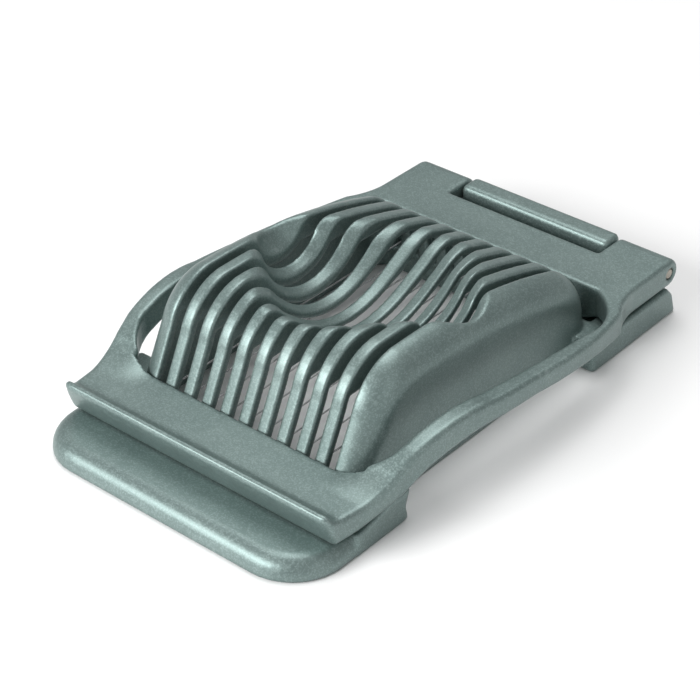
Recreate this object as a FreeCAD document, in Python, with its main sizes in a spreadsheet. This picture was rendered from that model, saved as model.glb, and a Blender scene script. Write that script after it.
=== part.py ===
import FreeCAD, Part
import os
import Sketcher

# Egg slicer: a cast base with a slotted, dished dome, and a cast cutting frame strung with
# ten wires that swings up on a long hinge pin at the rear.
# Frame: +Z up, +Y towards the hinge, +X to the right seen from the front edge.
# Origin: middle of the footprint, on the surface that the slicer stands on.  Millimetres.

SLOT_COUNT = 10

SIZES = {
    # Base footprint
    "half_length": 67.8,
    "front_half_width": 38.6,
    "rear_half_width": 37.2,
    "waist_half_width": 31.8,
    "base_wall": 3.0,
    # Front plate and the side tabs behind it
    "plate_top": 4.9,
    "plate_round": 4.0,
    "plate_corner": 12.8,
    "plate_corner_cut": 3.75,
    "plate_rear": 33.0,
    "tab_front": 50.0,
    "tab_rise": 46.0,
    "tab_rise_top": 5.7,
    "tab_full": 40.0,
    "tab_top": 7.5,
    # Rear block with the pocket under the frame's crossbar
    "block_front": 33.5,
    "block_half_width": 37.5,
    "block_top": 7.5,
    "block_chamfer": 3.8,
    "block_rear_lean": 1.7,
    "block_rear_top": 5.3,
    "pocket_front": 41.2,
    "pocket_rear": 54.8,
    "recess_depth": 2.1,
    "recess_rim": 6.0,
    # Dome, as seen from the side
    "dome_front": 46.5,
    "dome_shoulder": 36.5,
    "dome_shoulder_top": 21.0,
    "dome_brow": 31.6,
    "dome_brow_top": 28.2,
    "dome_crest": 24.0,
    "dome_crest_top": 31.2,
    "dome_back": 6.5,
    "dome_back_top": 29.3,
    "dome_tail": 33.0,
    "dome_tail_top": 22.7,
    "dome_heel": 38.3,
    "dome_heel_top": 18.2,
    "dome_foot": 41.0,
    "dome_foot_top": 12.0,
    "dome_rear": 42.0,
    # Dome, as seen from the front
    "cheek_half_width": 31.8,
    "cheek_top_width": 31.2,
    "cheek_turn": 26.2,
    "cheek_round": 4.6,
    "cheek_round_cut": 1.35,
    "dome_reach": 34.0,
    # Dish: one egg lies along the slots and one across them
    "dish_centre": 0.9,
    "long_dish_centre": 37.6,
    "long_dish_height": 20.7,
    "long_dish_width": 20.5,
    "long_dish_length": 27.0,
    "cross_dish_centre": 30.2,
    "cross_dish_height": 13.8,
    "cross_dish_width": 28.8,
    "cross_dish_length": 15.3,
    # Slots and wires
    "pitch": 5.3,
    "slot_width": 2.3,
    "slot_floor": 5.8,
    "slot_front": 48.0,
    "slot_rear": 44.0,
    "wire_radius": 0.2,
    "wire_level": 7.4,
    "groove_width": 0.6,
    "ferrule_radius": 0.95,
    "ferrule_length": 3.6,
    "ferrule_room": 0.15,
    "front_anchor": 48.6,
    "rear_anchor": 47.6,
    # Hinge
    "pin_radius": 1.4,
    "pin_clearance": 0.05,
    "pin_recess": 0.3,
    "ear_radius": 3.475,
    "pin_inset": 3.5,
    "pin_level": 11.425,
    "knuckle_half_width": 21.4,
    "knuckle_front": 60.9,
    "knuckle_rear": 67.0,
    "knuckle_top": 15.2,
    "knuckle_round": 1.4,
    "notch_half_width": 21.9,
    "notch_front": 56.85,
    # Cutting frame: heights of the front bar, lip and rear plate
    "frame_top": 14.9,
    "frame_bottom": 5.2,
    "bar_top": 11.0,
    "lip_foot": 55.2,
    "lip_reach": 58.2,
    "lip_reach_level": 11.9,
    "lip_ridge": 57.5,
    "lip_ridge_top": 13.1,
    "lip_back": 56.2,
    "lip_back_level": 12.4,
    "lip_valley": 53.6,
    "ear_bottom": 7.95,
    "crossbar_rear": 54.2,
    "inner_half_width": 29.5,
    # Cutting frame: the arched side rails, as seen from the side
    "arch_start": 48.0,
    "arch_low": 43.5,
    "arch_low_top": 12.1,
    "arch_mid": 39.0,
    "arch_mid_top": 14.8,
    "arch_rise": 34.4,
    "arch_rise_top": 17.6,
    "arch_crest": 24.0,
    "arch_crest_top": 20.0,
    "arch_fall": 11.0,
    "arch_fall_top": 19.2,
    "arch_tail": 19.0,
    "arch_tail_top": 16.1,
    "arch_flat": 28.0,
    "arch_flat_top": 15.25,
    "arch_end": 38.0,
    "under_end": 40.0,
    "under_tail": 18.0,
    "under_tail_top": 11.0,
    "under_fall": 8.0,
    "under_fall_top": 13.4,
    "under_crest": 21.0,
    "under_crest_top": 13.7,
    "under_rise": 31.0,
    "under_rise_top": 11.8,
    "under_low": 37.0,
    "under_low_top": 8.9,
    "under_foot": 44.0,
    "under_foot_top": 6.8,
    # Cutting frame: outline of the ring, as seen from above
    "lip_corner_width": 34.6,
    "lip_corner_via": 36.9,
    "lip_corner_back": 57.2,
    "lip_side_width": 37.6,
    "lip_side": 54.6,
    "flank_start_width": 38.3,
    "flank_start": 49.0,
    "flank_front_width": 41.8,
    "flank_front": 27.0,
    "flank_width": 43.3,
    "flank_middle": 4.0,
    "flank_rear_width": 42.7,
    "flank_rear": 26.0,
    "shoulder_width": 40.4,
    "shoulder": 39.5,
    "waist_width": 38.3,
    "waist_back": 43.8,
    "ear_start": 49.0,
    "ring_height": 24.0,
    # Window in the ring
    "window_front": 41.0,
    "window_front_width": 27.0,
    "window_corner_width": 33.9,
    "window_corner": 38.4,
    "window_side_width": 37.0,
    "window_side": 31.0,
    "window_mid_width": 38.6,
    "window_mid": 10.0,
    "window_rear_width": 39.4,
    "window_rear_start": 16.0,
    "window_turn": 26.0,
    "window_turn_width": 39.4,
    "window_bend_width": 37.4,
    "window_bend": 37.6,
    "window_rear": 43.2,
    "window_end_width": 31.0,
    # Sloping front face of the window, which follows the dome
    "slope_front": 46.9,
    "slope_back": 39.9,
    "slope_top": 14.8,
    "slope_half_width": 32.4,
}

doc = FreeCAD.newDocument("egg_slicer")
sheet = doc.addObject("Spreadsheet::Sheet", "sizes")
for row, (alias, size) in enumerate(SIZES.items(), start=1):
    sheet.set("A%d" % row, alias)
    sheet.set("B%d" % row, str(size))
    sheet.setAlias("B%d" % row, alias)
doc.recompute()


# ---------------------------------------------------------------- sizes and sketches

def is_number(word):
    return word.replace(".", "", 1).isdigit()


def number(text):
    """Value of a sum of cell names and numbers, such as 'half_length - lip_reach'."""
    total = 0.0
    sign = 1.0
    for word in text.split():
        if word in ("+", "-"):
            sign = -1.0 if word == "-" else 1.0
        else:
            total += sign * (float(word) if is_number(word) else SIZES[word])
            sign = 1.0
    return total


def formula(text, side=1):
    """The same sum as an expression on the sheet's cells, negated for the left side."""
    words = [w if w in ("+", "-") or is_number(w) else "sizes." + w for w in text.split()]
    joined = " ".join(words)
    return joined if side > 0 else "-(" + joined + ")"


def negated(text):
    """The sum with the sign of every term turned round."""
    signed = text if text.startswith("-") else "+ " + text
    return " ".join({"+": "-", "-": "+"}.get(word, word) for word in signed.split())


def bind(item, **sums):
    """Binds properties such as Length or Placement__Base__x to sums of the sheet's cells."""
    for name, text in sums.items():
        item.setExpression(name.replace("__", "."), formula(text))


def place_vertex(sketch, geometry, end, x, y, side):
    """Holds one sketch point at x, y from the sketch's origin."""
    for kind, text, sign, axis in (("DistanceX", x, side, -2), ("DistanceY", y, 1, -1)):
        if text == "0":
            sketch.addConstraint(Sketcher.Constraint("PointOnObject", geometry, end, axis))
            continue
        rule = Sketcher.Constraint(kind, -1, 1, geometry, end, sign * number(text))
        index = sketch.addConstraint(rule)
        sketch.setExpression("Constraints[%d]" % index, formula(text, sign))


def draw(sketch, outline):
    """Draws a closed outline of (side, x, y, via) corners.

    An edge whose first corner has a via point is an arc through that point.
    """
    corners = [FreeCAD.Vector(side * number(x), number(y), 0) for side, x, y, via in outline]
    ends = []
    for index, (side, x, y, via) in enumerate(outline):
        start = corners[index]
        finish = corners[(index + 1) % len(corners)]
        if via is None:
            edge = sketch.addGeometry(Part.LineSegment(start, finish))
        else:
            middle = FreeCAD.Vector(side * number(via[0]), number(via[1]), 0)
            edge = sketch.addGeometry(Part.Arc(start, middle, finish))
            mark = sketch.addGeometry(Part.Point(middle), True)
            sketch.addConstraint(Sketcher.Constraint("PointOnObject", mark, 1, edge))
            place_vertex(sketch, mark, 1, via[0], via[1], side)
        swapped = sketch.getPoint(edge, 1).distanceToPoint(start) > 1e-6
        ends.append((edge, 2 if swapped else 1, 1 if swapped else 2))
    for index, (side, x, y, via) in enumerate(outline):
        edge, first, last = ends[index]
        previous = ends[index - 1]
        sketch.addConstraint(Sketcher.Constraint("Coincident", previous[0], previous[2], edge, first))
        place_vertex(sketch, edge, first, x, y, side)


def one_side(corners):
    """Outline whose corners are all given."""
    return [(1, x, y, via) for x, y, via in corners]


def both_sides(corners):
    """Outline mirrored about its upright axis, from the corners of its right half."""
    left = []
    for index in range(len(corners) - 1, -1, -1):
        via = corners[index - 1][2] if index > 0 else None
        left.append((-1, corners[index][0], corners[index][1], via))
    return one_side(corners) + left


def origin_plane(body, role):
    return [item for item in body.Origin.OriginFeatures if getattr(item, "Role", "") == role][0]


def prism(name, role, outline, depth, symmetric=True):
    """Body with one sketch on an origin plane and one pad."""
    body = doc.addObject("PartDesign::Body", name)
    sketch = body.newObject("Sketcher::SketchObject", name + "_outline")
    sketch.AttachmentSupport = [(origin_plane(body, role), "")]
    sketch.MapMode = "FlatFace"
    draw(sketch, outline)
    pad = body.newObject("PartDesign::Pad", name + "_pad")
    pad.Profile = sketch
    pad.SideType = "Symmetric" if symmetric else "One side"
    bind(pad, Length=depth)
    doc.recompute()
    return body


def round_edges(body, name, radius, chosen):
    """Adds a fillet to the body's edges that the test picks."""
    pad = body.Tip
    names = ["Edge%d" % (i + 1) for i, edge in enumerate(pad.Shape.Edges) if chosen(edge)]
    fillet = body.newObject("PartDesign::Fillet", name)
    fillet.Base = (pad, names)
    bind(fillet, Radius=radius)
    doc.recompute()
    return body


def box(name, x0, x1, y0, y1, z0, z1):
    """Box between two corners, each given as sums of cells."""
    item = doc.addObject("Part::Box", name)
    low = {"Placement__Base__x": x0, "Placement__Base__y": y0, "Placement__Base__z": z0}
    bind(item, **low)
    for side, start, end in (("Length", x0, x1), ("Width", y0, y1), ("Height", z0, z1)):
        item.setExpression(side, "(%s) - (%s)" % (formula(end), formula(start)))
    return item


def centred_box(name, half_width, y0, y1, z0, z1):
    return box(name, negated(half_width), half_width, y0, y1, z0, z1)


def ellipsoid(name, width, length, height, centre, grow="0"):
    """Ellipsoid over the dish's middle, grown all round for the shell under it."""
    item = doc.addObject("Part::Ellipsoid", name)
    bind(item, Radius1=height + " + " + grow, Radius2=width + " + " + grow)
    bind(item, Radius3=length + " + " + grow)
    bind(item, Placement__Base__y="- dish_centre", Placement__Base__z=centre)
    return item


def rod(name, radius, start, end, level, x=None):
    """Cylinder along Y from start to end, or along X through the hinge when x is None."""
    item = doc.addObject("Part::Cylinder", name)
    across = x is None
    turn = FreeCAD.Rotation(FreeCAD.Vector(0, 1, 0), 90) if across else \
        FreeCAD.Rotation(FreeCAD.Vector(1, 0, 0), -90)
    item.Placement = FreeCAD.Placement(FreeCAD.Vector(0, 0, 0), turn)
    bind(item, Radius=radius, Placement__Base__z=level)
    item.setExpression("Height", "(%s) - (%s)" % (formula(end), formula(start)))
    if across:
        bind(item, Placement__Base__x=start, Placement__Base__y="half_length - pin_inset")
    else:
        bind(item, Placement__Base__y=start)
        item.setExpression("Placement.Base.x", x)
    return item


def join(name, *items):
    item = doc.addObject("Part::MultiFuse", name)
    item.Shapes = list(items)
    item.Refine = True
    doc.recompute()
    return item


def shared(name, *items):
    item = doc.addObject("Part::MultiCommon", name)
    item.Shapes = list(items)
    doc.recompute()
    return item


def cut(name, item, *tools):
    """Item minus the tools, with a check that the tools did remove something."""
    tool = tools[0] if len(tools) == 1 else join(name + "_tools", *tools)
    result = doc.addObject("Part::Cut", name)
    result.Base = item
    result.Tool = tool
    result.Refine = True
    doc.recompute()
    if result.Shape.Volume > item.Shape.Volume - 1e-3:
        raise RuntimeError(name + " removes nothing")
    return result


def slot_position(index):
    """Middle of one slot, as an expression."""
    return "sizes.pitch * %.1f" % (index - (SLOT_COUNT - 1) / 2)


def slot_box(name, index, width, y0, y1, z0, z1):
    """Box centred on one slot's middle plane."""
    item = box(name, "0", width, y0, y1, z0, z1)
    item.setExpression("Placement.Base.x", "%s - sizes.%s / 2" % (slot_position(index), width))
    return item


# ---------------------------------------------------------------- base casting

def build_plate():
    """Front plate with its rounded corners and a fillet along its upper rim."""
    corner = ("front_half_width - plate_corner_cut", "- half_length + plate_corner_cut")
    half = [
        ("front_half_width - plate_corner", "- half_length", corner),
        ("front_half_width", "- half_length + plate_corner", None),
        ("front_half_width", "- plate_rear", None),
    ]
    plate = prism("front_plate", "XY_Plane", both_sides(half), "plate_top", symmetric=False)
    top = number("plate_top")
    rear = -number("tab_rise")

    def on_rim(edge):
        level = all(abs(vertex.Z - top) < 1e-6 for vertex in edge.Vertexes)
        return level and edge.BoundBox.YMin < rear

    return round_edges(plate, "plate_rim", "plate_round", on_rim)


def build_tabs():
    """Low shoulders at the sides, under the place where the frame's rails start to rise."""
    outline = [
        ("- tab_front", "0", None),
        ("- tab_front", "plate_top", ("- tab_rise", "tab_rise_top")),
        ("- tab_full", "tab_top", None),
        ("- plate_rear", "tab_top", None),
        ("- plate_rear", "0", None),
    ]
    strip = prism("tab_strip", "YZ_Plane", one_side(outline), "front_half_width + front_half_width")
    middle = centred_box("tab_middle", "waist_half_width", "- half_length", "0", "plate_top", "dome_reach")
    return cut("side_tabs", strip, middle)


def build_block():
    """Rear block that carries the hinge, with its top rear edge taken off."""
    plan = [
        ("block_half_width", "block_front", None),
        ("rear_half_width", "half_length", None),
    ]
    outline = [
        ("block_front", "0", None),
        ("block_front", "block_top", None),
        ("half_length - block_chamfer", "block_top", None),
        ("half_length - block_rear_lean", "block_rear_top", None),
        ("half_length", "0", None),
    ]
    block_plan = prism("block_plan", "XY_Plane", both_sides(plan), "block_top", symmetric=False)
    block_side = prism("block_side", "YZ_Plane", one_side(outline), "block_half_width + block_half_width")
    return shared("rear_block", block_plan, block_side)


def dome_side_outline(inset):
    """Side view of the dome, or of its hollow when the wall is taken off as the inset."""
    lower = "0" if inset == "0" else inset
    front = "- dome_front + " + lower
    back = " - " + lower
    return one_side([
        (front, "0", None),
        ("- dome_shoulder + " + lower, "dome_shoulder_top" + back,
         ("- dome_brow + " + lower, "dome_brow_top" + back)),
        ("- dome_crest", "dome_crest_top" + back, ("dome_back", "dome_back_top" + back)),
        ("dome_tail" + back, "dome_tail_top" + back,
         ("dome_heel" + back, "dome_heel_top" + back)),
        ("dome_foot" + back, "dome_foot_top" + back, None),
        ("dome_rear" + back, "0", None),
    ])


def dome_front_outline(inset):
    """Front view of the dome, with rounded cheeks."""
    back = " - " + inset
    turn = ("cheek_top_width - cheek_round_cut" + back, "cheek_turn + cheek_round - cheek_round_cut" + back)
    return both_sides([
        ("cheek_half_width" + back, "0", None),
        ("cheek_top_width" + back, "cheek_turn" + back, turn),
        ("cheek_top_width - cheek_round" + back, "cheek_turn + cheek_round" + back, None),
        ("cheek_top_width - cheek_round" + back, "dome_reach" + back, None),
    ])


def build_dome():
    """Solid dome, and the hollow under it that leaves a shell under the dish."""
    width = "cheek_half_width + cheek_half_width"
    length = "half_length + half_length"
    side = prism("dome_side", "YZ_Plane", dome_side_outline("0"), width)
    front = prism("dome_front_view", "XZ_Plane", dome_front_outline("0"), length)
    dome = shared("dome_blank", side, front)
    hollow_side = prism("hollow_side", "YZ_Plane", dome_side_outline("base_wall"), width)
    hollow_front = prism("hollow_front_view", "XZ_Plane", dome_front_outline("base_wall"), length)
    blank = shared("hollow_blank", hollow_side, hollow_front)
    long_shape = ("long_dish_width", "long_dish_length", "long_dish_height", "long_dish_centre")
    cross_shape = ("cross_dish_width", "cross_dish_length", "cross_dish_height", "cross_dish_centre")
    long_shell = ellipsoid("long_dish_shell", *long_shape, grow="base_wall")
    cross_shell = ellipsoid("cross_dish_shell", *cross_shape, grow="base_wall")
    hollow = cut("hollow", cut("hollow_along", blank, long_shell), cross_shell)
    dishes = [ellipsoid("long_dish", *long_shape), ellipsoid("cross_dish", *cross_shape)]
    return dome, hollow, dishes


def build_knuckle():
    """Bar of the base that fills the notch between the frame's ears."""
    half = [
        ("knuckle_half_width", "knuckle_front", None),
        ("knuckle_half_width", "knuckle_rear", None),
    ]
    bar = prism("knuckle", "XY_Plane", both_sides(half), "knuckle_top", symmetric=False)
    top = number("knuckle_top")
    return round_edges(bar, "knuckle_rim", "knuckle_round",
                       lambda edge: all(abs(vertex.Z - top) < 1e-6 for vertex in edge.Vertexes))


def build_base():
    dome, hollow, dishes = build_dome()
    solid = join("base_solid", build_plate(), build_tabs(), build_block(), build_knuckle(), dome)
    pocket = centred_box("crossbar_pocket", "waist_half_width - 0.8", "pocket_front", "pocket_rear",
                         "plate_top", "block_top + 1")
    front_recess = centred_box("front_recess", "front_half_width - recess_rim",
                               "- half_length + recess_rim", "- dome_front - base_wall", "0", "recess_depth")
    rear_recess = centred_box("rear_recess", "rear_half_width - recess_rim",
                              "dome_rear + base_wall", "half_length - recess_rim", "0", "recess_depth")
    bore = rod("knuckle_bore", "pin_radius", "- rear_half_width", "rear_half_width", "pin_level")
    slots = [slot_box("slot_%02d" % (i + 1), i, "slot_width", "- slot_front", "slot_rear",
                      "slot_floor", "dome_reach") for i in range(SLOT_COUNT)]
    dished = cut("dished_across", cut("dished_along", solid, dishes[0]), dishes[1])
    shaped = cut("base_shaped", dished, hollow)
    return cut("base_casting", shaped, pocket, front_recess, rear_recess, bore, *slots)


# ---------------------------------------------------------------- cutting frame

EAR_END = ("half_length - pin_inset", "frame_top", ("half_length - pin_inset + ear_radius", "pin_level"))
LIP = [
    ("- lip_foot", "frame_bottom", None),
    ("- lip_reach", "lip_reach_level", ("- lip_ridge", "lip_ridge_top")),
    ("- lip_back", "lip_back_level", None),
    ("- lip_valley", "bar_top", None),
]


def build_ring():
    """Plan of the frame: straight at the lip and ears, bowed out along the rails."""
    half = [
        ("lip_corner_width", "- lip_reach - 0.3", ("lip_corner_via", "- lip_corner_back")),
        ("lip_side_width", "- lip_side", None),
        ("flank_start_width", "- flank_start", ("flank_front_width", "- flank_front")),
        ("flank_width", "flank_middle", ("flank_rear_width", "flank_rear")),
        ("shoulder_width", "shoulder", ("waist_width", "waist_back")),
        ("rear_half_width", "ear_start", None),
        ("rear_half_width", "half_length", None),
    ]
    return prism("ring_plan", "XY_Plane", both_sides(half), "ring_height", symmetric=False)


def build_bars():
    """Side view of the front bar with its lip, and of the rear plate with its crossbar."""
    outline = LIP + [
        ("- window_front", "bar_top", None),
        ("window_rear", "frame_top", None),
        EAR_END,
        ("half_length - pin_inset", "ear_bottom", None),
        ("crossbar_rear", "ear_bottom", None),
        ("crossbar_rear", "frame_bottom + 0.1", None),
    ]
    return prism("bars", "YZ_Plane", one_side(outline), "inner_half_width + inner_half_width")


def build_rails():
    """Side view of the rails, which arch over the sides of the dome."""
    outline = LIP + [
        ("- arch_start", "bar_top", ("- arch_low", "arch_low_top")),
        ("- arch_mid", "arch_mid_top", None),
        ("- arch_rise", "arch_rise_top", ("- arch_crest", "arch_crest_top")),
        ("- arch_fall", "arch_fall_top", None),
        ("arch_tail", "arch_tail_top", ("arch_flat", "arch_flat_top")),
        ("arch_end", "frame_top", None),
        EAR_END,
        ("half_length - pin_inset", "ear_bottom", None),
        ("under_end", "ear_bottom", ("under_tail", "under_tail_top")),
        ("- under_fall", "under_fall_top", ("- under_crest", "under_crest_top")),
        ("- under_rise", "under_rise_top", None),
        ("- under_low", "under_low_top", ("- under_foot", "under_foot_top")),
        ("- flank_start", "frame_bottom + 0.2", None),
    ]
    rails = prism("rails_side", "YZ_Plane", one_side(outline), "half_length + half_length")
    middle = centred_box("rails_middle", "inner_half_width", "- half_length", "half_length + 1",
                         "0", "ring_height")
    return cut("rails", rails, middle)


def build_window():
    """Opening that the dome stands in, with a front face that slopes like the dome."""
    half = [
        ("window_front_width", "- window_front", ("window_corner_width", "- window_corner")),
        ("window_side_width", "- window_side", ("window_mid_width", "- window_mid")),
        ("window_rear_width", "window_rear_start", None),
        ("window_turn_width", "window_turn", ("window_bend_width", "window_bend")),
        ("window_end_width", "window_rear", None),
    ]
    slope = [
        ("- slope_front", "0", None),
        ("- slope_back", "slope_top", None),
        ("0", "slope_top", None),
        ("0", "0", None),
    ]
    upright = prism("window", "XY_Plane", both_sides(half), "ring_height", symmetric=False)
    sloped = prism("window_slope", "YZ_Plane", one_side(slope), "slope_half_width + slope_half_width")
    return join("window_space", upright, sloped)


def build_anchors(index):
    """Groove for one wire and the pocket for the ferrule at each of its ends."""
    tag = "%02d" % (index + 1)
    low = "frame_bottom - 0.2"
    groove_top = "wire_level + wire_radius + 0.1"
    pocket_top = "wire_level + ferrule_radius + ferrule_room"
    width = "ferrule_radius + ferrule_radius + ferrule_room"
    front = "- front_anchor - ferrule_length - ferrule_room"
    rear = "rear_anchor + ferrule_length + ferrule_room"
    grooves = slot_box("groove_" + tag, index, "groove_width", "- front_anchor", "rear_anchor",
                       low, groove_top)
    pockets = []
    for name, start, end in (("front", front, "- front_anchor"), ("rear", "rear_anchor", rear)):
        pocket = box("%s_pocket_%s" % (name, tag), "0", width, start, end, low, pocket_top)
        pocket.setExpression("Placement.Base.x", "%s - (%s) / 2" % (slot_position(index), formula(width)))
        pockets.append(pocket)
    return [grooves] + pockets


def build_frame():
    ring = shared("ring", build_ring(), join("profiles", build_bars(), build_rails()))
    notch = centred_box("notch", "notch_half_width", "notch_front", "half_length + 2", "0", "ring_height")
    bore = rod("ear_bore", "pin_radius + pin_clearance", "- half_length", "half_length", "pin_level")
    opened = cut("opened_ring", ring, build_window(), notch)
    anchors = [tool for index in range(SLOT_COUNT) for tool in build_anchors(index)]
    return cut("cutting_frame", opened, bore, *anchors)


# ---------------------------------------------------------------- pin, wires and ferrules

def build_pin():
    return rod("hinge_pin", "pin_radius", "- rear_half_width + pin_recess",
               "rear_half_width - pin_recess", "pin_level")


def build_wire(index):
    """One cutting wire with the ferrules crimped on its ends."""
    tag = "%02d" % (index + 1)
    x = slot_position(index)
    front = "- front_anchor - ferrule_length"
    rear = "rear_anchor + ferrule_length"
    wire = rod("wire_" + tag, "wire_radius", front, rear, "wire_level", x)
    parts = [wire]
    for name, start, end in (("front_ferrule_", front, "- front_anchor"),
                             ("rear_ferrule_", "rear_anchor", rear)):
        sleeve = rod(name + "blank_" + tag, "ferrule_radius", start, end, "wire_level", x)
        hole = rod(name + "hole_" + tag, "wire_radius", start, end, "wire_level", x)
        parts.append(cut(name + tag, sleeve, hole))
    return parts


sub_parts = [build_base(), build_frame(), build_pin()]
for slot in range(SLOT_COUNT):
    sub_parts += build_wire(slot)
doc.recompute()

for item in doc.Objects:
    if "Invalid" in item.State or "Error" in item.State:
        raise RuntimeError("%s failed: %s" % (item.Name, item.State))
for item in sub_parts:
    if item.Shape.isNull() or not item.Shape.isValid() or len(item.Shape.Solids) != 1:
        raise RuntimeError(item.Label + " is not one valid solid")

os.makedirs("parts", exist_ok=True)
for item in sub_parts:
    item.Shape.exportStep("parts/%s.step" % item.Label)
    print(item.Label, round(item.Shape.Volume, 1), item.Shape.BoundBox)
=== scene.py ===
import math

import bpy
import numpy as np
from mathutils import Matrix, Vector


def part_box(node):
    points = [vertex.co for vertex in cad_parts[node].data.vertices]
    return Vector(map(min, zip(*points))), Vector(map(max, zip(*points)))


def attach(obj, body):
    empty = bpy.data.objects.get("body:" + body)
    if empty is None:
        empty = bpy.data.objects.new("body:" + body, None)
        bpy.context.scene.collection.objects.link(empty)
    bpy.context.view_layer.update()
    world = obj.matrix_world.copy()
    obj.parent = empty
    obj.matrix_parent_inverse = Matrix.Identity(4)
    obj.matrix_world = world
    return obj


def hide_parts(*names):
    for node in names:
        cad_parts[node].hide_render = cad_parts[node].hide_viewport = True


# Egg slicer.  The two castings are built as smooth solids from distance fields, worked out in
# millimetres in the row's own frame: a field is negative inside the metal and positive outside.

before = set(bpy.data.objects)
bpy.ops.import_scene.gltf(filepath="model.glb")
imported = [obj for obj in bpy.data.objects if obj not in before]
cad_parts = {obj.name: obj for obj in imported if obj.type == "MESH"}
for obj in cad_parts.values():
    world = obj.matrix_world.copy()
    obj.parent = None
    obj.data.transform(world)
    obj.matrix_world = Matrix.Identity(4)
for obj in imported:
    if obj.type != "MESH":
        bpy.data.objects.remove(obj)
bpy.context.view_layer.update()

MM = 0.001
WIRE_COUNT = len([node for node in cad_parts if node.startswith("wire_")])


def box_mm(node):
    """Lowest and highest corner of a CAD node in millimetres."""
    return [[value / MM for value in corner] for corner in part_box(node)]


BASE_LOW, BASE_HIGH = box_mm("base_casting")
FRAME_LOW, FRAME_HIGH = box_mm("cutting_frame")
PIN_LOW, PIN_HIGH = box_mm("hinge_pin")
WIRE_LOW, WIRE_HIGH = box_mm("wire_01")
NEXT_LOW = box_mm("wire_02")[0]
SLEEVE_LOW, SLEEVE_HIGH = box_mm("front_ferrule_01")

# Driving sizes, taken from the frame
HALF_LENGTH = BASE_HIGH[1]
CREST = BASE_HIGH[2]
PLATE_HALF_WIDTH = BASE_HIGH[0]
PIN_Y = (PIN_LOW[1] + PIN_HIGH[1]) / 2
PIN_Z = (PIN_LOW[2] + PIN_HIGH[2]) / 2
PIN_RADIUS = (PIN_HIGH[2] - PIN_LOW[2]) / 2
WIRE_Z = (WIRE_LOW[2] + WIRE_HIGH[2]) / 2
PITCH = NEXT_LOW[0] - WIRE_LOW[0]
FRAME_BOTTOM = FRAME_LOW[2]
LIP_FRONT = FRAME_LOW[1]
EAR_RADIUS = FRAME_HIGH[1] - PIN_Y
SLEEVE_LENGTH = SLEEVE_HIGH[1] - SLEEVE_LOW[1]
SLEEVE_WIDTH = SLEEVE_HIGH[0] - SLEEVE_LOW[0]

# Camera and floor: angles in degrees, lens in millimetres, distances in metres
CAMERA_TURN = 40.1
CAMERA_RISE = 33.99
CAMERA_LENS = 109.7
CAMERA_BACK = 0.479
CAMERA_RIGHT = -0.00428
CAMERA_UP = 0.0061
FLOOR_REACH = 3.0

# Step of the grid that the castings are sampled on, in millimetres like all sizes below
GRID_STEP = 0.45

# Base casting
WALL = 2.2
HOLLOW_TOP = 23.0
PLATE_TOP = 4.9
TAB_TOP = 7.5
PLATE_CORNER = 12.8
WAIST = 31.8
BLOCK_FRONT = 33.5
REAR_HALF_WIDTH = 37.2
SLOT_WIDTH = 2.3
SLOT_FLOOR = 5.8
SLAT_ROUND = 0.55
SLOT_FRONT = -48.0
SLOT_REAR = 44.0
DISH_Y = -0.9
LONG_DISH_Z = 37.6
LONG_DISH_WIDTH = 20.5
LONG_DISH_HEIGHT = 20.7
LONG_DISH_FRONT = 27.0
LONG_DISH_REAR = 31.0
CROSS_DISH_Z = 30.2
CROSS_DISH_RADII = (28.8, 15.3, 13.8)
POCKET_FRONT = 41.2
POCKET_REAR = 54.8
POCKET_HALF_WIDTH = 31.0
RECESS_RIM = 6.0
RECESS_DEPTH = 2.1
FRONT_RECESS_REAR = -49.5
REAR_RECESS_FRONT = 45.0
KNUCKLE_HALF_WIDTH = 21.4
KNUCKLE_FRONT = 60.9
KNUCKLE_REAR = 67.0
KNUCKLE_TOP = 15.2

# Cutting frame
BORE_GAP = 0.12
SLEEVE_GAP = 0.15
BEND_START = 25.5
BEND_WIDTH = 8.0
SLOPE_HALF_WIDTH = 32.4
CROSSBAR_REAR = 54.2
GROOVE_WIDTH = 0.9
NOTCH_HALF_WIDTH = 21.9
NOTCH_FRONT = 56.85
FRAME_TOP = PIN_Z + EAR_RADIUS
EAR_BOTTOM = PIN_Z - EAR_RADIUS
BAR_TOP = 11.0


# ---------------------------------------------------------------- distance fields

def shared(a, b, radius=0.0):
    """Where both solids are, with the edge between them rounded."""
    if np.ndim(radius) == 0 and radius == 0.0:
        return np.maximum(a, b)
    corner = np.hypot(np.maximum(a + radius, 0), np.maximum(b + radius, 0))
    return np.minimum(np.maximum(a, b), -radius) + corner


def joined(a, b, radius=0.0):
    """Both solids, with a fillet where they meet."""
    if radius == 0.0:
        return np.minimum(a, b)
    corner = np.hypot(np.maximum(radius - a, 0), np.maximum(radius - b, 0))
    return np.maximum(np.minimum(a, b), radius) - corner


def less(a, b, radius=0.0):
    """The first solid without the second, with the edge rounded."""
    return shared(a, -b, radius)


def slab(value, low, high):
    """Between two levels of one coordinate."""
    return np.maximum(low - value, value - high)


def arc(start, middle, end, count=9):
    """Points of the circular arc through three points, without the last one."""
    (ax, ay), (bx, by), (cx, cy) = start, middle, end
    turn = 2 * (ax * (by - cy) + bx * (cy - ay) + cx * (ay - by))
    squares = [x * x + y * y for x, y in (start, middle, end)]
    x = (squares[0] * (by - cy) + squares[1] * (cy - ay) + squares[2] * (ay - by)) / turn
    y = (squares[0] * (cx - bx) + squares[1] * (ax - cx) + squares[2] * (bx - ax)) / turn
    radius = math.hypot(ax - x, ay - y)
    first, mid, last = [math.atan2(q - y, p - x) for p, q in (start, middle, end)]
    sweep = (last - first) % math.tau
    if (mid - first) % math.tau > sweep:
        sweep -= math.tau
    angles = [first + sweep * i / count for i in range(count)]
    return [(x + radius * math.cos(t), y + radius * math.sin(t)) for t in angles]


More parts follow.
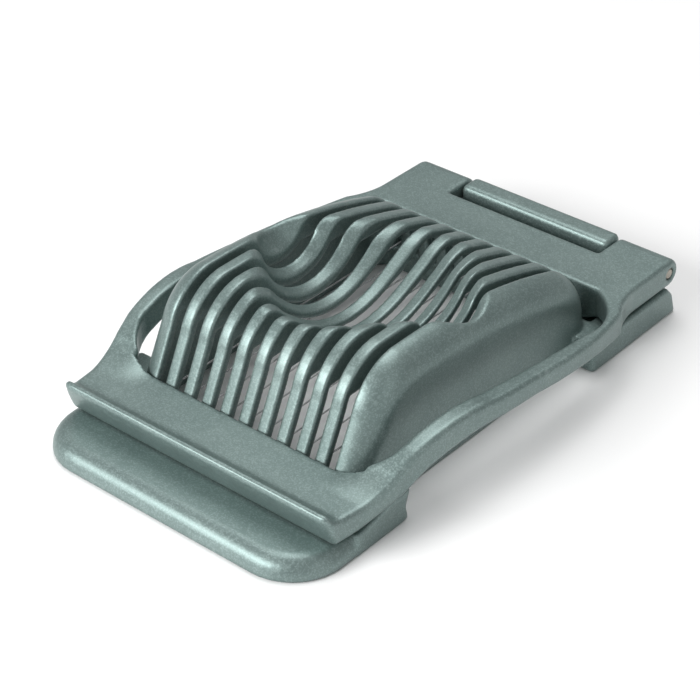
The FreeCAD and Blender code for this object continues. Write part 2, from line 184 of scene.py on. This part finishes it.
def outline(corners):
    """Closed outline; a corner with two more numbers starts an arc through that point."""
    points = []
    for index, corner in enumerate(corners):
        following = corners[(index + 1) % len(corners)]
        if len(corner) == 4:
            points += arc(corner[:2], corner[2:], following[:2])
        else:
            points.append(corner[:2])
    return points


def mirrored(corners):
    """Outline of both halves, from the corners of the right one."""
    right = outline(list(corners) + [(0.0, corners[-1][1])])[:-1]
    return right + [(-x, y) for x, y in reversed(right)]


def inside_outline(points, u, v):
    """Signed distance from each u, v to a closed outline."""
    squared = np.full(np.broadcast(u, v).shape, np.inf)
    inside = np.zeros(squared.shape, bool)
    for (u0, v0), (u1, v1) in zip(points, points[1:] + points[:1]):
        du, dv = u1 - u0, v1 - v0
        if du * du + dv * dv < 1e-9:
            continue
        t = np.clip(((u - u0) * du + (v - v0) * dv) / (du * du + dv * dv), 0, 1)
        squared = np.minimum(squared, (u - u0 - t * du) ** 2 + (v - v0 - t * dv) ** 2)
        if dv != 0:
            inside ^= ((v0 > v) != (v1 > v)) & (u < (v - v0) * du / dv + u0)
    return np.where(inside, -1, 1) * np.sqrt(squared)


def ellipsoid(x, y, z, radii, centre_y, centre_z):
    """Distance to an ellipsoid, close enough near its surface."""
    scaled = [x / radii[0], (y - centre_y) / radii[1], (z - centre_z) / radii[2]]
    near = np.sqrt(scaled[0] ** 2 + scaled[1] ** 2 + scaled[2] ** 2) + 1e-6
    steep = np.sqrt(sum((s / r) ** 2 for s, r in zip(scaled, radii))) + 1e-6
    return near * (near - 1) / steep


def wire_gap(x, width):
    """Distance to the upright gaps of one width that stand over the wires."""
    middle = np.clip(np.floor(x / PITCH), 0, WIRE_COUNT / 2 - 1) + 0.5
    return np.abs(x - middle * PITCH) - width / 2


def grid(low, high):
    """Coordinates over the right half of a box, with a margin of two steps."""
    x = np.arange(0, high[0] + 2 * GRID_STEP, GRID_STEP)
    y = np.arange(low[1] - 2 * GRID_STEP, high[1] + 2 * GRID_STEP, GRID_STEP)
    z = np.arange(low[2] - 2 * GRID_STEP, high[2] + 2 * GRID_STEP, GRID_STEP)
    return x[:, None, None], y[None, :, None], z[None, None, :]


# ---------------------------------------------------------------- base casting

DOME_SIDE = [
    (-46.5, -20.0),
    (-46.5, 0.0),
    (-36.5, 21.0, -31.6, 28.2),
    (-24.0, CREST, 6.5, 29.3),
    (33.0, 22.7, 38.3, 18.2),
    (41.0, 12.0),
    (42.0, 0.0),
    (42.0, -20.0),
]
TAB_SIDE = [
    (-50.0, -20.0),
    (-50.0, PLATE_TOP, -46.0, 5.7),
    (-40.0, TAB_TOP),
    (-33.0, TAB_TOP),
    (-36.0, -2.0),
]
BLOCK_SIDE = [
    (BLOCK_FRONT, -20.0),
    (BLOCK_FRONT, TAB_TOP),
    (HALF_LENGTH - 3.8, TAB_TOP),
    (HALF_LENGTH - 1.7, 5.3),
    (HALF_LENGTH, 0.0),
    (HALF_LENGTH, -20.0),
]
PLATE_PLAN = [
    (PLATE_HALF_WIDTH - PLATE_CORNER, -HALF_LENGTH, PLATE_HALF_WIDTH - 3.75, 3.75 - HALF_LENGTH),
    (PLATE_HALF_WIDTH, PLATE_CORNER - HALF_LENGTH),
    (PLATE_HALF_WIDTH, -34.0),
]


def dome_field(x, y, z):
    """Outside of the dome with its dish, open at the bottom."""
    side = inside_outline(outline(DOME_SIDE), y, z)
    width = x - (WAIST - 0.6 * np.clip(z / CREST, 0, 1))
    blank = shared(side, width, 6.5)
    reach = np.where(y > DISH_Y, LONG_DISH_REAR, LONG_DISH_FRONT)
    long_radii = (LONG_DISH_WIDTH, reach, LONG_DISH_HEIGHT)
    long_dish = ellipsoid(x, y, z, long_radii, DISH_Y, LONG_DISH_Z)
    cross_dish = ellipsoid(x, y, z, CROSS_DISH_RADII, DISH_Y, CROSS_DISH_Z)
    rim = 4.0 - 2.2 * np.clip((x - 20.0) / 8.0, 0, 1)
    return less(blank, joined(long_dish, cross_dish, 5.0), rim)


def base_field(x, y, z):
    """Front plate, side tabs, rear block, hinge bar and the hollow, slotted dome."""
    dome = dome_field(x, y, z)
    hollow = np.maximum(dome + WALL, z - HOLLOW_TOP)
    plate = shared(inside_outline(mirrored(PLATE_PLAN), x, y), z - PLATE_TOP, 4.0)
    tab = shared(inside_outline(outline(TAB_SIDE), y, z), slab(x, WAIST - 1.0, PLATE_HALF_WIDTH), 0.8)
    block_width = x - (PLATE_HALF_WIDTH - 0.9 - 0.3 * (y - BLOCK_FRONT) / (HALF_LENGTH - BLOCK_FRONT))
    block = shared(inside_outline(outline(BLOCK_SIDE), y, z), block_width, 0.9)
    pocket_sides = shared(x - POCKET_HALF_WIDTH, PLATE_TOP - z)
    pocket = shared(slab(y, POCKET_FRONT, POCKET_REAR), pocket_sides, 0.4)
    knuckle_sides = shared(x - KNUCKLE_HALF_WIDTH, z - KNUCKLE_TOP, 1.4)
    knuckle = shared(slab(y, KNUCKLE_FRONT, KNUCKLE_REAR), knuckle_sides, 1.4)
    foot = joined(joined(plate, tab, 0.8), less(block, pocket, 0.4), 0.5)
    solid = joined(joined(foot, knuckle, 0.6), dome, 0.7)
    slots = shared(wire_gap(x, SLOT_WIDTH), shared(SLOT_FLOOR - z, slab(y, SLOT_FRONT, SLOT_REAR)))
    shelled = less(less(solid, hollow, 0.4), slots, SLAT_ROUND)
    front_sides = shared(x - PLATE_HALF_WIDTH + RECESS_RIM, z - RECESS_DEPTH)
    rear_sides = shared(x - REAR_HALF_WIDTH + RECESS_RIM, z - RECESS_DEPTH)
    front_recess = shared(slab(y, RECESS_RIM - HALF_LENGTH, FRONT_RECESS_REAR), front_sides, 0.4)
    rear_recess = shared(slab(y, REAR_RECESS_FRONT, HALF_LENGTH - RECESS_RIM), rear_sides, 0.4)
    hollowed = less(less(shelled, front_recess, 0.3), rear_recess, 0.3)
    return shared(hollowed, -z, 0.35)


# ---------------------------------------------------------------- cutting frame

LIP = [
    (LIP_FRONT + 3.0, FRAME_BOTTOM),
    (LIP_FRONT, 11.9, LIP_FRONT + 0.7, 13.1),
    (-56.2, 12.4, -54.9, 11.35),
    (-53.0, BAR_TOP),
]
EAR = [
    (PIN_Y, FRAME_TOP, PIN_Y + EAR_RADIUS, PIN_Z),
    (PIN_Y, EAR_BOTTOM),
]
BAR_SIDE = LIP + [(-41.0, BAR_TOP), (43.2, FRAME_TOP)] + EAR + [
    (CROSSBAR_REAR, EAR_BOTTOM),
    (CROSSBAR_REAR, FRAME_BOTTOM + 0.1),
]
RAIL_SIDE = LIP + [
    (-48.0, BAR_TOP, -43.5, 12.1),
    (-39.0, 14.8),
    (-34.4, 17.6, -24.0, 20.0),
    (-11.0, 19.2),
    (19.0, 16.1, 28.0, 15.25),
    (38.0, FRAME_TOP),
] + EAR + [
    (40.0, EAR_BOTTOM, 18.0, 11.0),
    (-8.0, 13.4, -21.0, 13.7),
    (-31.0, 11.8),
    (-37.0, 8.9, -44.0, 6.8),
    (-49.0, FRAME_BOTTOM + 0.2),
]
RING_PLAN = [
    (34.6, LIP_FRONT - 0.3, 36.9, LIP_FRONT + 1.0),
    (37.6, -54.6),
    (38.3, -49.0, 41.8, -27.0),
    (43.3, 4.0, 42.7, 26.0),
    (40.4, 39.5, 38.3, 43.8),
    (REAR_HALF_WIDTH, 49.0),
    (REAR_HALF_WIDTH, HALF_LENGTH + 5.0),
]
WINDOW_PLAN = [
    (27.0, -41.0, 33.9, -38.4),
    (37.0, -31.0, 38.6, -10.0),
    (39.4, 16.0),
    (39.4, 26.0, 37.4, 37.6),
    (31.0, 43.2),
]
WINDOW_SLOPE = [
    (-46.9, 0.0),
    (-39.9, 14.8),
    (0.0, 14.8),
    (0.0, 0.0),
]


def frame_field(x, y, z):
    """Bars, bowed rails, lip and ears, with the bore and the wires' pockets and grooves."""
    bar = inside_outline(outline(BAR_SIDE), y, z)
    rail = inside_outline(outline(RAIL_SIDE), y, z)
    share = np.clip((x - BEND_START) / BEND_WIDTH, 0, 1)
    share = share * share * (3 - 2 * share)
    side = bar * (1 - share) + rail * share
    ring = shared(side, inside_outline(mirrored(RING_PLAN), x, y), 1.3)
    window = inside_outline(mirrored(WINDOW_PLAN), x, y)
    slope = shared(inside_outline(outline(WINDOW_SLOPE), y, z), x - SLOPE_HALF_WIDTH)
    opened = less(less(ring, window, 0.9), slope, 0.5)
    notch = shared(x - NOTCH_HALF_WIDTH, NOTCH_FRONT - y, 0.6)
    eared = less(opened, notch, 0.8)
    bore = np.hypot(y - PIN_Y, z - PIN_Z) - PIN_RADIUS - BORE_GAP
    bored = less(eared, bore, 0.25)
    sleeve_top = SLEEVE_HIGH[2] + SLEEVE_GAP
    pockets = shared(wire_gap(x, SLEEVE_WIDTH + 2 * SLEEVE_GAP), z - sleeve_top)
    at_front = slab(y, SLEEVE_LOW[1] - SLEEVE_GAP, SLEEVE_HIGH[1])
    at_rear = slab(y, WIRE_HIGH[1] - SLEEVE_LENGTH, WIRE_HIGH[1] + SLEEVE_GAP)
    along = slab(y, SLEEVE_HIGH[1] - 0.2, WIRE_HIGH[1] - SLEEVE_LENGTH + 0.2)
    grooves = shared(shared(wire_gap(x, GROOVE_WIDTH), z - WIRE_Z - 0.5), along)
    anchors = joined(shared(pockets, joined(at_front, at_rear)), grooves)
    return less(bored, anchors)


# ---------------------------------------------------------------- meshes

CORNERS = [(i, j, k) for i in (0, 1) for j in (0, 1) for k in (0, 1)]
EDGES = [(a, b) for a in CORNERS for b in CORNERS
         if a < b and sum(abs(p - q) for p, q in zip(a, b)) == 1]


def sampled(field, places):
    """Trilinear value of a field at places given in grid steps."""
    whole = np.clip(np.floor(places).astype(int), 0, np.array(field.shape) - 2)
    part = places - whole
    total = 0.0
    for corner in CORNERS:
        weight = np.prod([part[:, a] if corner[a] else 1 - part[:, a] for a in range(3)], axis=0)
        at = whole + corner
        total = total + weight * field[at[:, 0], at[:, 1], at[:, 2]]
    return total


def surface(field):
    """Vertices, in grid steps, and quads of a field's zero surface."""
    inner = field < 0
    cells = tuple(n - 1 for n in field.shape)

    def at(corner, array):
        return array[tuple(slice(c, c + n) for c, n in zip(corner, cells))]

    count = sum(at(corner, inner).astype(np.int8) for corner in CORNERS)
    active = np.argwhere((count > 0) & (count < 8))
    number = np.full(cells, -1, int)
    number[tuple(active.T)] = np.arange(len(active))
    total = np.zeros((len(active), 3))
    crossings = np.zeros(len(active))
    for a, b in EDGES:
        first = field[tuple((active + a).T)]
        second = field[tuple((active + b).T)]
        crossed = (first < 0) != (second < 0)
        gap = np.where(crossed, first - second, 1.0)
        share = np.where(crossed, first / gap, 0.0)[:, None]
        total += np.where(crossed[:, None], np.array(a) + share * (np.array(b) - np.array(a)), 0)
        crossings += crossed
    vertices = active + total / crossings[:, None]

    quads = []
    for axis in range(3):
        u, v = (axis + 1) % 3, (axis + 2) % 3
        ahead = [slice(None)] * 3
        behind = [slice(None)] * 3
        ahead[axis] = slice(1, None)
        behind[axis] = slice(None, -1)
        crossed = np.argwhere(inner[tuple(ahead)] != inner[tuple(behind)])
        keep = (crossed[:, u] > 0) & (crossed[:, v] > 0)
        keep &= (crossed[:, u] < cells[u]) & (crossed[:, v] < cells[v])
        crossed = crossed[keep]
        ring = []
        for du, dv in ((1, 1), (0, 1), (0, 0), (1, 0)):
            cell = crossed.copy()
            cell[:, u] -= du
            cell[:, v] -= dv
            ring.append(number[tuple(cell.T)])
        faces = np.stack(ring, axis=1)
        outward = inner[tuple(crossed.T)]
        faces[~outward] = faces[~outward][:, ::-1]
        quads.append(faces)
    return vertices, np.concatenate(quads)


def settle(field, vertices):
    """Moves the vertices onto the field's zero surface."""
    for _ in range(3):
        value = sampled(field, vertices)
        slope = np.stack([
            sampled(field, vertices + 0.5 * step) - sampled(field, vertices - 0.5 * step)
            for step in np.eye(3)
        ], axis=1)
        steep = np.maximum((slope ** 2).sum(1), 0.25 * GRID_STEP ** 2)
        vertices = vertices - 0.8 * slope * (value / steep)[:, None]
    return vertices


def casting(name, low, high, field_of):
    """Mesh object of a field over a box, mirrored to both sides."""
    x, y, z = grid(low, high)
    right = field_of(x, y, z).astype(np.float32)
    field = np.concatenate([right[:0:-1], right])
    vertices, quads = surface(field)
    vertices = settle(field, vertices)
    origin = np.array([-x[-1, 0, 0], y[0, 0, 0], z[0, 0, 0]])
    places = np.clip(vertices * GRID_STEP + origin, low, high) * MM
    mesh = bpy.data.meshes.new(name)
    mesh.vertices.add(len(places))
    mesh.vertices.foreach_set("co", places.ravel())
    mesh.loops.add(quads.size)
    mesh.loops.foreach_set("vertex_index", quads.ravel().astype(np.int32))
    mesh.polygons.add(len(quads))
    mesh.polygons.foreach_set("loop_start", np.arange(0, quads.size, 4, dtype=np.int32))
    mesh.polygons.foreach_set("use_smooth", np.ones(len(quads), bool))
    mesh.update(calc_edges=True)
    mesh.validate()
    item = bpy.data.objects.new(name, mesh)
    bpy.context.scene.collection.objects.link(item)
    return item


def turned(name, profile, sides=40, flats=0.0):
    """Round part along X from (along, radius) points; flats presses two sides in at mid length."""
    corners = []
    length = profile[-1][0] - profile[0][0]
    for along, radius in profile:
        pressed = flats * math.exp(-((along - profile[0][0]) / length - 0.5) ** 2 / 0.05)
        for index in range(sides):
            angle = math.tau * index / sides
            squeeze = 1 - pressed * math.cos(angle) ** 4
            across = radius * squeeze * math.cos(angle) * MM
            corners.append((along * MM, across, radius * math.sin(angle) * MM))
    faces = []
    for ring in range(len(profile) - 1):
        for index in range(sides):
            following = (index + 1) % sides
            low, high = ring * sides, (ring + 1) * sides
            faces.append((low + index, low + following, high + following, high + index))
    faces.append(tuple(reversed(range(sides))))
    faces.append(tuple(range((len(profile) - 1) * sides, len(profile) * sides)))
    mesh = bpy.data.meshes.new(name)
    mesh.from_pydata(corners, [], faces)
    mesh.polygons.foreach_set("use_smooth", [True] * len(faces))
    mesh.set_sharp_from_angle(angle=math.radians(35))
    return mesh


def placed(name, mesh, matrix):
    item = bpy.data.objects.new(name, mesh)
    bpy.context.scene.collection.objects.link(item)
    item.matrix_world = matrix
    return item


# ---------------------------------------------------------------- materials

class Nodes:
    """Short way to add nodes to a new material."""

    def __init__(self, name):
        self.material = bpy.data.materials.new(name)
        self.material.use_nodes = True
        self.tree = self.material.node_tree
        self.shader = self.tree.nodes["Principled BSDF"]

    def add(self, kind, **inputs):
        node = self.tree.nodes.new("ShaderNode" + kind)
        for name, value in inputs.items():
            self.put(node.inputs[name.replace("_", " ")], value)
        return node

    def put(self, socket, value):
        if isinstance(value, bpy.types.NodeSocket):
            self.tree.links.new(value, socket)
        else:
            socket.default_value = value

    def noise(self, scale, detail=3.0, roughness=0.5):
        place = self.tree.nodes.new("ShaderNodeTexCoord").outputs["Object"]
        node = self.add("TexNoise", Vector=place, Scale=scale, Detail=detail, Roughness=roughness)
        return node.outputs["Fac"]

    def cells(self, scale):
        place = self.tree.nodes.new("ShaderNodeTexCoord").outputs["Object"]
        return self.add("TexVoronoi", Vector=place, Scale=scale).outputs["Color"]

    def ranged(self, value, low, high, to_low, to_high):
        node = self.tree.nodes.new("ShaderNodeMapRange")
        for index, item in enumerate((value, low, high, to_low, to_high)):
            self.put(node.inputs[index], item)
        return node.outputs[0]

    def mixed(self, share, first, second):
        node = self.tree.nodes.new("ShaderNodeMix")
        node.data_type = "RGBA"
        self.put(node.inputs[0], share)
        self.put(node.inputs[6], first)
        self.put(node.inputs[7], second)
        return node.outputs[2]

    def bump(self, height, strength, distance):
        return self.add("Bump", Height=height, Strength=strength, Distance=distance).outputs["Normal"]


def lacquer(name):
    """Satin grey lacquer full of fine metal flakes, painted a little paler on convex edges as a painted
    highlight.
    """
    nodes = Nodes(name)
    flake = nodes.add("SeparateColor", Color=nodes.cells(3800.0)).outputs[0]
    cloud = nodes.noise(70.0, 4.0)
    grain = nodes.noise(2600.0, 2.0)
    patches = nodes.ranged(cloud, 0.3, 0.7, 0.0, 1.0)
    tone = nodes.mixed(patches, (0.150, 0.208, 0.200, 1), (0.180, 0.242, 0.232, 1))
    sparkled = nodes.mixed(nodes.ranged(flake, 0.45, 1.0, 0.0, 0.30), tone, (0.42, 0.52, 0.50, 1))
    # Painted highlight: pointiness mixes a pale grey into the colour on convex edges and fillets.
    highlight_pointiness = nodes.tree.nodes.new("ShaderNodeNewGeometry").outputs["Pointiness"]
    edge = nodes.ranged(highlight_pointiness, 0.53, 0.64, 0.0, 0.22)
    nodes.put(nodes.shader.inputs["Base Color"], nodes.mixed(edge, sparkled, (0.44, 0.52, 0.51, 1)))
    nodes.put(nodes.shader.inputs["Roughness"], nodes.ranged(flake, 0.0, 1.0, 0.36, 0.50))
    nodes.shader.inputs["Metallic"].default_value = 0.62
    nodes.shader.inputs["Coat Weight"].default_value = 0.12
    nodes.shader.inputs["Coat Roughness"].default_value = 0.32
    fine = nodes.bump(grain, 0.22, 0.00012)
    nodes.put(nodes.shader.inputs["Normal"], fine)
    return nodes.material


def steel(name, colour, roughness, stretch, bump):
    """Drawn or turned steel with fine lines along or round the part."""
    nodes = Nodes(name)
    place = nodes.tree.nodes.new("ShaderNodeTexCoord").outputs["Object"]
    drawn = nodes.add("Mapping", Vector=place, Scale=stretch).outputs["Vector"]
    lines = nodes.add("TexNoise", Vector=drawn, Scale=900.0, Detail=4.0).outputs["Fac"]
    spots = nodes.noise(300.0, 3.0)
    dull = tuple(0.6 * value for value in colour) + (1,)
    worn = nodes.ranged(spots, 0.45, 0.75, 0.0, 0.6)
    nodes.put(nodes.shader.inputs["Base Color"], nodes.mixed(worn, colour + (1,), dull))
    nodes.put(nodes.shader.inputs["Roughness"], nodes.ranged(lines, 0.3, 0.7, roughness, roughness + 0.15))
    nodes.shader.inputs["Metallic"].default_value = 1.0
    nodes.put(nodes.shader.inputs["Normal"], nodes.bump(lines, bump, 0.00005))
    return nodes.material


def paint(item, material):
    item.data.materials.clear()
    item.data.materials.append(material)


# ---------------------------------------------------------------- the slicer

def build_castings():
    for name, node, body, slot, field_of, (low, high) in (
        ("base_cast", "base_casting", "base", "base_coat", base_field, (BASE_LOW, BASE_HIGH)),
        ("frame_cast", "cutting_frame", "frame", "frame_coat", frame_field, (FRAME_LOW, FRAME_HIGH)),
    ):
        piece = casting(name, low, high, field_of)
        paint(piece, lacquer(slot + "_lacquer"))
        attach(piece, body)
        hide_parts(node)


def build_pin():
    """Hinge pin with chamfered ends."""
    end = PIN_HIGH[0]
    end_radius = PIN_RADIUS - 0.35
    shoulder = end - 0.3
    profile = [(-end, end_radius), (-shoulder, PIN_RADIUS), (shoulder, PIN_RADIUS), (end, end_radius)]
    mesh = turned("turned_pin", profile, sides=48)
    pin = placed("turned_pin", mesh, Matrix.Translation((0, PIN_Y * MM, PIN_Z * MM)))
    paint(pin, steel("pin_steel", (0.40, 0.37, 0.32), 0.34, (6.0, 1.0, 1.0), 0.25))
    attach(pin, "base")
    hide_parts("hinge_pin")


def build_sleeves():
    """Crimped sleeve on each end of each wire."""
    half = [(0.0, 1.0), (0.2, 1.0), (0.4, 1.0), (0.46, 0.97), (0.5, 0.82)]
    stations = [(-share, scale) for share, scale in reversed(half[1:])] + half
    profile = [(share * SLEEVE_LENGTH, scale * SLEEVE_WIDTH / 2) for share, scale in stations]
    mesh = turned("crimped_sleeve", profile, sides=28, flats=0.22)
    mesh.materials.append(steel("sleeve_steel", (0.52, 0.52, 0.53), 0.38, (1.0, 4.0, 4.0), 0.3))
    along_y = Matrix.Rotation(math.radians(90), 4, "Z")
    for end in ("front", "rear"):
        for index in range(WIRE_COUNT):
            node = "%s_ferrule_%02d" % (end, index + 1)
            low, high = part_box(node)
            name = "%s_sleeve_%02d" % (end, index + 1)
            sleeve = placed(name, mesh, Matrix.Translation((low + high) / 2) @ along_y)
            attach(sleeve, "frame")
            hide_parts(node)


def finish_wires():
    """The wires keep their CAD shape and get drawn steel."""
    material = steel("drawn_wire", (0.60, 0.60, 0.61), 0.24, (3.0, 0.15, 3.0), 0.3)
    for node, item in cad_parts.items():
        if node.startswith("wire_"):
            paint(item, material)


# ---------------------------------------------------------------- light, floor and camera

def build_stage():
    floor_mesh = bpy.data.meshes.new("floor")
    reach = FLOOR_REACH
    corners = [(-reach, -reach, 0), (reach, -reach, 0), (reach, reach, 0), (-reach, reach, 0)]
    floor_mesh.from_pydata(corners, [], [(0, 1, 2, 3)])
    floor = bpy.data.objects.new("floor", floor_mesh)
    floor.location.z = -0.00005
    bpy.context.scene.collection.objects.link(floor)
    nodes = Nodes("pale_floor")
    shade = nodes.ranged(nodes.noise(8.0), 0.3, 0.7, 0.90, 0.93)
    grey = nodes.add("CombineColor", Red=shade, Green=shade, Blue=shade).outputs[0]
    nodes.put(nodes.shader.inputs["Base Color"], grey)
    nodes.shader.inputs["Roughness"].default_value = 0.35
    paint(floor, nodes.material)


def add_light(name, place, target, size, power):
    lamp = bpy.data.lights.new(name, "AREA")
    lamp.shape = "RECTANGLE"
    lamp.size, lamp.size_y = size
    lamp.energy = power
    item = bpy.data.objects.new(name, lamp)
    item.location = place
    item.rotation_euler = (Vector(target) - Vector(place)).to_track_quat("-Z", "Y").to_euler()
    bpy.context.scene.collection.objects.link(item)


def build_lights():
    middle = (0, 0, 0.015)
    add_light("front_softbox", (-0.25, -0.75, 0.42), middle, (0.7, 0.35), 8.5)
    add_light("top_softbox", (-0.15, 0.25, 0.85), middle, (0.6, 0.6), 4.4)
    add_light("right_softbox", (0.8, -0.1, 0.35), middle, (0.4, 0.5), 0.6)
    world = bpy.data.worlds.new("studio")
    world.use_nodes = True
    background = world.node_tree.nodes["Background"]
    background.inputs["Color"].default_value = (1, 1, 1, 1)
    background.inputs["Strength"].default_value = 0.38
    bpy.context.scene.world = world
    bpy.context.scene.view_settings.view_transform = "Standard"


def build_camera():
    """Level camera that looks down on the front right corner."""
    turn, rise = math.radians(CAMERA_TURN), math.radians(CAMERA_RISE)
    back = Vector((math.sin(turn) * math.cos(rise), -math.cos(turn) * math.cos(rise), math.sin(rise)))
    right = Vector((math.cos(turn), math.sin(turn), 0))
    up = back.cross(right)
    camera = bpy.data.objects.new("camera", bpy.data.cameras.new("camera"))
    camera.data.sensor_width = 36
    camera.data.lens = CAMERA_LENS
    camera.data.clip_start = 0.01
    place = CAMERA_BACK * back + CAMERA_RIGHT * right + CAMERA_UP * up
    camera.matrix_world = Matrix.Translation(place) @ Matrix((right, up, back)).transposed().to_4x4()
    bpy.context.scene.collection.objects.link(camera)
    bpy.context.scene.camera = camera


build_castings()
build_pin()
build_sleeves()
finish_wires()
build_stage()
build_lights()
build_camera()

bpy.context.view_layer.update()
